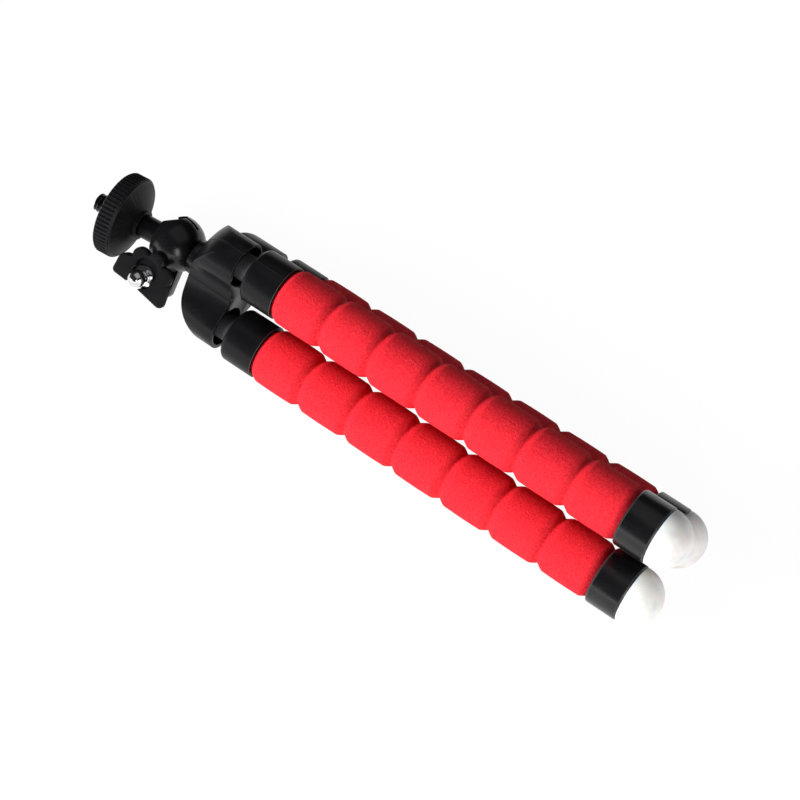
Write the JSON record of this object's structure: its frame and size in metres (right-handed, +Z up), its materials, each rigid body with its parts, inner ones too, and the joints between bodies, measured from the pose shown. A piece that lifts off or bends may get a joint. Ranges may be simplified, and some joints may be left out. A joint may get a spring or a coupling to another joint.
{
  "type": "mini tripod",
  "caption": "Folded pocket tripod with bendable foam-covered legs, domed rubber feet, a lobed hub and a ball head with a wing knob and a knurled camera disc.",
  "frame": {"origin": "on the table under the middle of the folded tripod's box", "axes": "+X from the head to the feet, along the legs; +Z up; leg a lies on top, leg b in front (-Y)"},
  "size_m": [0.2297, 0.0434, 0.0402],
  "materials": {
    "black_plastic": "satin",
    "red_foam": "matte",
    "white_rubber": "satin",
    "steel": "satin",
    "bright_steel": "polished",
    "dark_steel": "satin",
    "wire": "satin"
  },
  "bodies": {
    "hub": {"hub": "black_plastic", "hinge_pins": "steel"},
    "head_base": {"ball_socket": "black_plastic", "clamp_screw": "bright_steel", "hub_screw": "steel"},
    "ball": {"ball_stud": "black_plastic", "camera_screw": "dark_steel"},
    "disc": {"platform_disc": "black_plastic"},
    "knob": {"clamp_knob": "black_plastic"},
    "leg_a_root": {"leg_a_collar": "black_plastic", "leg_a_foam_1": "red_foam", "leg_a_wire_1": "wire"},
    "leg_a_seg_2": {"leg_a_foam_2": "red_foam", "leg_a_wire_2": "wire"},
    "leg_a_seg_3": {"leg_a_foam_3": "red_foam", "leg_a_wire_3": "wire"},
    "leg_a_seg_4": {"leg_a_foam_4": "red_foam", "leg_a_wire_4": "wire"},
    "leg_a_seg_5": {"leg_a_foam_5": "red_foam", "leg_a_wire_5": "wire"},
    "leg_a_seg_6": {"leg_a_foam_6": "red_foam", "leg_a_wire_6": "wire"},
    "leg_a_tip": {"leg_a_foam_7": "red_foam", "leg_a_wire_7": "wire", "leg_a_end_ring": "black_plastic", "leg_a_foot": "white_rubber"},
    "leg_b_root": {"leg_b_collar": "black_plastic", "leg_b_foam_1": "red_foam", "leg_b_wire_1": "wire"},
    "leg_b_seg_2": {"leg_b_foam_2": "red_foam", "leg_b_wire_2": "wire"},
    "leg_b_seg_3": {"leg_b_foam_3": "red_foam", "leg_b_wire_3": "wire"},
    "leg_b_seg_4": {"leg_b_foam_4": "red_foam", "leg_b_wire_4": "wire"},
    "leg_b_seg_5": {"leg_b_foam_5": "red_foam", "leg_b_wire_5": "wire"},
    "leg_b_seg_6": {"leg_b_foam_6": "red_foam", "leg_b_wire_6": "wire"},
    "leg_b_tip": {"leg_b_foam_7": "red_foam", "leg_b_wire_7": "wire", "leg_b_end_ring": "black_plastic", "leg_b_foot": "white_rubber"},
    "leg_c_root": {"leg_c_collar": "black_plastic", "leg_c_foam_1": "red_foam", "leg_c_wire_1": "wire"},
    "leg_c_seg_2": {"leg_c_foam_2": "red_foam", "leg_c_wire_2": "wire"},
    "leg_c_seg_3": {"leg_c_foam_3": "red_foam", "leg_c_wire_3": "wire"},
    "leg_c_seg_4": {"leg_c_foam_4": "red_foam", "leg_c_wire_4": "wire"},
    "leg_c_seg_5": {"leg_c_foam_5": "red_foam", "leg_c_wire_5": "wire"},
    "leg_c_seg_6": {"leg_c_foam_6": "red_foam", "leg_c_wire_6": "wire"},
    "leg_c_tip": {"leg_c_foam_7": "red_foam", "leg_c_wire_7": "wire", "leg_c_end_ring": "black_plastic", "leg_c_foot": "white_rubber"}
  },
  "joints": [
    {"name": "head_turn", "type": "hinge", "parent": "hub", "child": "head_base", "pos_m": [-0.0837, 0, 0.01663], "axis": [1, 0, 0], "continuous": true},
    {"name": "ball_tilt", "type": "hinge", "parent": "head_base", "child": "ball", "pos_m": [-0.0837, 0, 0.01663], "axis": [0.073, -0.7383, 0.6705], "range_deg": [-46, 8]},
    {"name": "disc_turn", "type": "hinge", "parent": "ball", "child": "disc", "pos_m": [-0.0837, 0, 0.01663], "axis": [-0.9957, -0.0929, 0.0061], "continuous": true},
    {"name": "knob_turn", "type": "hinge", "parent": "head_base", "child": "knob", "pos_m": [-0.0861, -0.00843, 0.00726], "axis": [0, -0.7431, 0.6691], "range_deg": [0, 360]},
    {"name": "leg_a_swing", "type": "hinge", "parent": "hub", "child": "leg_a_root", "pos_m": [-0.0594, 0, 0.03048], "axis": [0, -1, 0], "range_deg": [0, 20]},
    {"name": "leg_a_bend_1", "type": "hinge", "parent": "leg_a_root", "child": "leg_a_seg_2", "pos_m": [-0.0187, 0, 0.03048], "axis": [0, -1, 0], "range_deg": [0, 15]},
    {"name": "leg_a_bend_2", "type": "hinge", "parent": "leg_a_seg_2", "child": "leg_a_seg_3", "pos_m": [0, 0, 0.03048], "axis": [0, -1, 0], "range_deg": [0, 15]},
    {"name": "leg_a_bend_3", "type": "hinge", "parent": "leg_a_seg_3", "child": "leg_a_seg_4", "pos_m": [0.0187, 0, 0.03048], "axis": [0, -1, 0], "range_deg": [0, 15]},
    {"name": "leg_a_bend_4", "type": "hinge", "parent": "leg_a_seg_4", "child": "leg_a_seg_5", "pos_m": [0.0374, 0, 0.03048], "axis": [0, -1, 0], "range_deg": [0, 15]},
    {"name": "leg_a_bend_5", "type": "hinge", "parent": "leg_a_seg_5", "child": "leg_a_seg_6", "pos_m": [0.0561, 0, 0.03048], "axis": [0, -1, 0], "range_deg": [0, 15]},
    {"name": "leg_a_bend_6", "type": "hinge", "parent": "leg_a_seg_6", "child": "leg_a_tip", "pos_m": [0.0748, 0, 0.03048], "axis": [0, -1, 0], "range_deg": [0, 15]},
    {"name": "leg_b_swing", "type": "hinge", "parent": "hub", "child": "leg_b_root", "pos_m": [-0.0594, -0.012, 0.0097], "axis": [0, 0.5, -0.866], "range_deg": [0, 20]},
    {"name": "leg_b_bend_1", "type": "hinge", "parent": "leg_b_root", "child": "leg_b_seg_2", "pos_m": [-0.0187, -0.012, 0.0097], "axis": [0, 0.5, -0.866], "range_deg": [0, 15]},
    {"name": "leg_b_bend_2", "type": "hinge", "parent": "leg_b_seg_2", "child": "leg_b_seg_3", "pos_m": [0, -0.012, 0.0097], "axis": [0, 0.5, -0.866], "range_deg": [0, 15]},
    {"name": "leg_b_bend_3", "type": "hinge", "parent": "leg_b_seg_3", "child": "leg_b_seg_4", "pos_m": [0.0187, -0.012, 0.0097], "axis": [0, 0.5, -0.866], "range_deg": [0, 15]},
    {"name": "leg_b_bend_4", "type": "hinge", "parent": "leg_b_seg_4", "child": "leg_b_seg_5", "pos_m": [0.0374, -0.012, 0.0097], "axis": [0, 0.5, -0.866], "range_deg": [0, 15]},
    {"name": "leg_b_bend_5", "type": "hinge", "parent": "leg_b_seg_5", "child": "leg_b_seg_6", "pos_m": [0.0561, -0.012, 0.0097], "axis": [0, 0.5, -0.866], "range_deg": [0, 15]},
    {"name": "leg_b_bend_6", "type": "hinge", "parent": "leg_b_seg_6", "child": "leg_b_tip", "pos_m": [0.0748, -0.012, 0.0097], "axis": [0, 0.5, -0.866], "range_deg": [0, 15]},
    {"name": "leg_c_swing", "type": "hinge", "parent": "hub", "child": "leg_c_root", "pos_m": [-0.0594, 0.012, 0.0097], "axis": [0, 0.5, 0.866], "range_deg": [0, 20]},
    {"name": "leg_c_bend_1", "type": "hinge", "parent": "leg_c_root", "child": "leg_c_seg_2", "pos_m": [-0.0187, 0.012, 0.0097], "axis": [0, 0.5, 0.866], "range_deg": [0, 15]},
    {"name": "leg_c_bend_2", "type": "hinge", "parent": "leg_c_seg_2", "child": "leg_c_seg_3", "pos_m": [0, 0.012, 0.0097], "axis": [0, 0.5, 0.866], "range_deg": [0, 15]},
    {"name": "leg_c_bend_3", "type": "hinge", "parent": "leg_c_seg_3", "child": "leg_c_seg_4", "pos_m": [0.0187, 0.012, 0.0097], "axis": [0, 0.5, 0.866], "range_deg": [0, 15]},
    {"name": "leg_c_bend_4", "type": "hinge", "parent": "leg_c_seg_4", "child": "leg_c_seg_5", "pos_m": [0.0374, 0.012, 0.0097], "axis": [0, 0.5, 0.866], "range_deg": [0, 15]},
    {"name": "leg_c_bend_5", "type": "hinge", "parent": "leg_c_seg_5", "child": "leg_c_seg_6", "pos_m": [0.0561, 0.012, 0.0097], "axis": [0, 0.5, 0.866], "range_deg": [0, 15]},
    {"name": "leg_c_bend_6", "type": "hinge", "parent": "leg_c_seg_6", "child": "leg_c_tip", "pos_m": [0.0748, 0.012, 0.0097], "axis": [0, 0.5, 0.866], "range_deg": [0, 15]}
  ]
}
